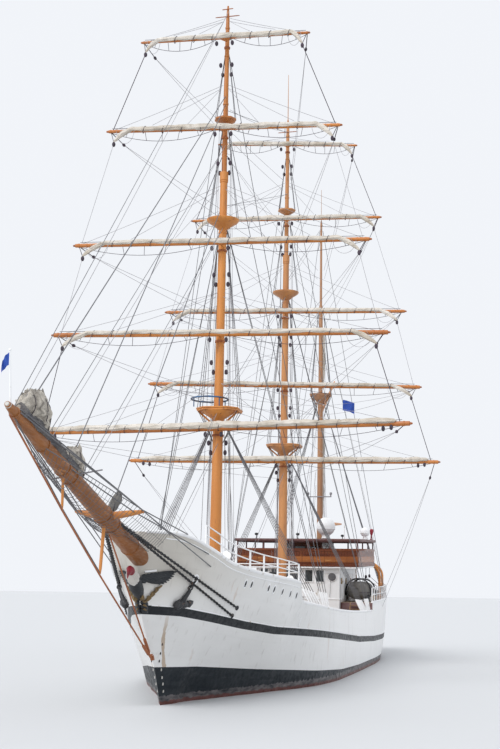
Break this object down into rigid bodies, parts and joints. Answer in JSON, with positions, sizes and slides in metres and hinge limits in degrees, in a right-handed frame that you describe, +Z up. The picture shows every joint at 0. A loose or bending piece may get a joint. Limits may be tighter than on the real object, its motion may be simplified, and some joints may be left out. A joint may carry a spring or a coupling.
{
  "type": "three-masted barque, 1:2 scale model",
  "caption": "Three-masted barque at half scale, afloat with furled sails; its yards brace round, boom and gaff swing, rudder, screw and helm turn.",
  "frame": {"origin": "on the centreline at midships, at the waterline", "axes": "+X towards the bow, +Y to port, +Z up the masts"},
  "size_m": [39.407, 10.6986, 22.8729],
  "materials": {
    "hull_white": "semi-gloss, weathered",
    "house_white": "semi-gloss",
    "bottom_red": "matt",
    "bronze": "dull",
    "varnish": "gloss varnish",
    "roof_brown": "satin",
    "spar_ochre": "semi-gloss",
    "canvas": "matt",
    "black_iron": "satin",
    "teak": "oiled",
    "grey_cover": "matt",
    "stay_orange": "satin"
  },
  "bodies": {
    "ship": {"hull": "hull_white", "deckhouse": "house_white", "waist_house": "house_white", "bridge": "varnish", "bridge_roof": "roof_brown", "wheelhouse": "varnish", "radome_large": "house_white", "radome_small": "house_white", "forecastle_railing": "house_white", "poop_railing": "house_white", "bowsprit": "spar_ochre", "bobstays": "stay_orange", "figurehead": "black_iron", "anchor_port": "black_iron", "anchor_starboard": "black_iron", "helm_pedestal": "teak", "windlass": "black_iron", "davits_port": "spar_ochre", "davits_starboard": "spar_ochre", "workboat": "grey_cover", "furled_outer_jib": "canvas", "furled_inner_jib": "canvas", "furled_staysail": "canvas", "mizzen_lower_mast": "spar_ochre", "mizzen_topmast": "spar_ochre", "mizzen_top": "spar_ochre", "fore_lower_mast": "spar_ochre", "fore_topmast": "spar_ochre", "fore_topgallant_mast": "spar_ochre", "fore_top": "spar_ochre", "main_lower_mast": "spar_ochre", "main_topmast": "spar_ochre", "main_topgallant_mast": "spar_ochre", "main_top": "spar_ochre"},
    "fore_course": {"fore_course_yard": "spar_ochre", "fore_course_sail": "canvas"},
    "fore_lower_topsail": {"fore_lower_topsail_yard": "spar_ochre", "fore_lower_topsail_sail": "canvas"},
    "fore_upper_topsail": {"fore_upper_topsail_yard": "spar_ochre", "fore_upper_topsail_sail": "canvas"},
    "fore_topgallant": {"fore_topgallant_yard": "spar_ochre", "fore_topgallant_sail": "canvas"},
    "fore_royal": {"fore_royal_yard": "spar_ochre", "fore_royal_sail": "canvas"},
    "main_course": {"main_course_yard": "spar_ochre", "main_course_sail": "canvas"},
    "main_lower_topsail": {"main_lower_topsail_yard": "spar_ochre", "main_lower_topsail_sail": "canvas"},
    "main_upper_topsail": {"main_upper_topsail_yard": "spar_ochre", "main_upper_topsail_sail": "canvas"},
    "main_topgallant": {"main_topgallant_yard": "spar_ochre", "main_topgallant_sail": "canvas"},
    "main_royal": {"main_royal_yard": "spar_ochre", "main_royal_sail": "canvas"},
    "boom": {"spanker_boom": "spar_ochre"},
    "gaff": {"spanker_gaff": "spar_ochre"},
    "rudder": {"rudder": "bottom_red"},
    "propeller": {"propeller": "bronze"},
    "helm": {"helm_wheel": "teak"}
  },
  "joints": [
    {"name": "fore_course_brace", "type": "hinge", "parent": "ship", "child": "fore_course", "pos_m": [8.87454, 0, 6.79827], "axis": [-0.0276, 0, 0.9996], "range_deg": [-24, 36]},
    {"name": "fore_lower_topsail_brace", "type": "hinge", "parent": "ship", "child": "fore_lower_topsail", "pos_m": [8.80354, 0, 9.37229], "axis": [-0.0276, 0, 0.9996], "range_deg": [-34, 26]},
    {"name": "fore_upper_topsail_brace", "type": "hinge", "parent": "ship", "child": "fore_upper_topsail", "pos_m": [8.73323, 0, 11.92132], "axis": [-0.0276, 0, 0.9996], "range_deg": [-33, 27]},
    {"name": "fore_topgallant_brace", "type": "hinge", "parent": "ship", "child": "fore_topgallant", "pos_m": [8.64293, 0, 15.19508], "axis": [-0.0276, 0, 0.9996], "range_deg": [-34, 26]},
    {"name": "fore_royal_brace", "type": "hinge", "parent": "ship", "child": "fore_royal", "pos_m": [8.56918, 0, 17.86906], "axis": [-0.0276, 0, 0.9996], "range_deg": [-31, 29]},
    {"name": "main_course_brace", "type": "hinge", "parent": "ship", "child": "main_course", "pos_m": [-0.86067, 0, 6.79945], "axis": [-0.0155, 0, 0.9999], "range_deg": [-35, 25]},
    {"name": "main_lower_topsail_brace", "type": "hinge", "parent": "ship", "child": "main_lower_topsail", "pos_m": [-0.90067, 0, 9.37414], "axis": [-0.0155, 0, 0.9999], "range_deg": [-40, 20]},
    {"name": "main_upper_topsail_brace", "type": "hinge", "parent": "ship", "child": "main_upper_topsail", "pos_m": [-0.94028, 0, 11.92383], "axis": [-0.0155, 0, 0.9999], "range_deg": [-36, 24]},
    {"name": "main_topgallant_brace", "type": "hinge", "parent": "ship", "child": "main_topgallant", "pos_m": [-0.99115, 0, 15.19844], "axis": [-0.0155, 0, 0.9999], "range_deg": [-34, 26]},
    {"name": "main_royal_brace", "type": "hinge", "parent": "ship", "child": "main_royal", "pos_m": [-1.0327, 0, 17.87311], "axis": [-0.0155, 0, 0.9999], "range_deg": [-40, 20]},
    {"name": "boom_swing", "type": "hinge", "parent": "ship", "child": "boom", "pos_m": [-8.83013, 0, 5.09989], "axis": [0.0087, 0, 1], "range_deg": [-35, 35]},
    {"name": "gaff_swing", "type": "hinge", "parent": "ship", "child": "gaff", "pos_m": [-8.79173, 0, 9.49972], "axis": [0.0087, 0, 1], "range_deg": [-35, 35]},
    {"name": "rudder_turn", "type": "hinge", "parent": "ship", "child": "rudder", "pos_m": [-13.2, 0, -1.25], "axis": [0, 0, 1], "range_deg": [-35, 35]},
    {"name": "propeller_spin", "type": "hinge", "parent": "ship", "child": "propeller", "pos_m": [-12.625, 0, -1.3], "axis": [1, 0, 0], "continuous": true},
    {"name": "helm_turn", "type": "hinge", "parent": "ship", "child": "helm", "pos_m": [-10.85, 0, 2.82], "axis": [1, 0, 0], "continuous": true}
  ]
}
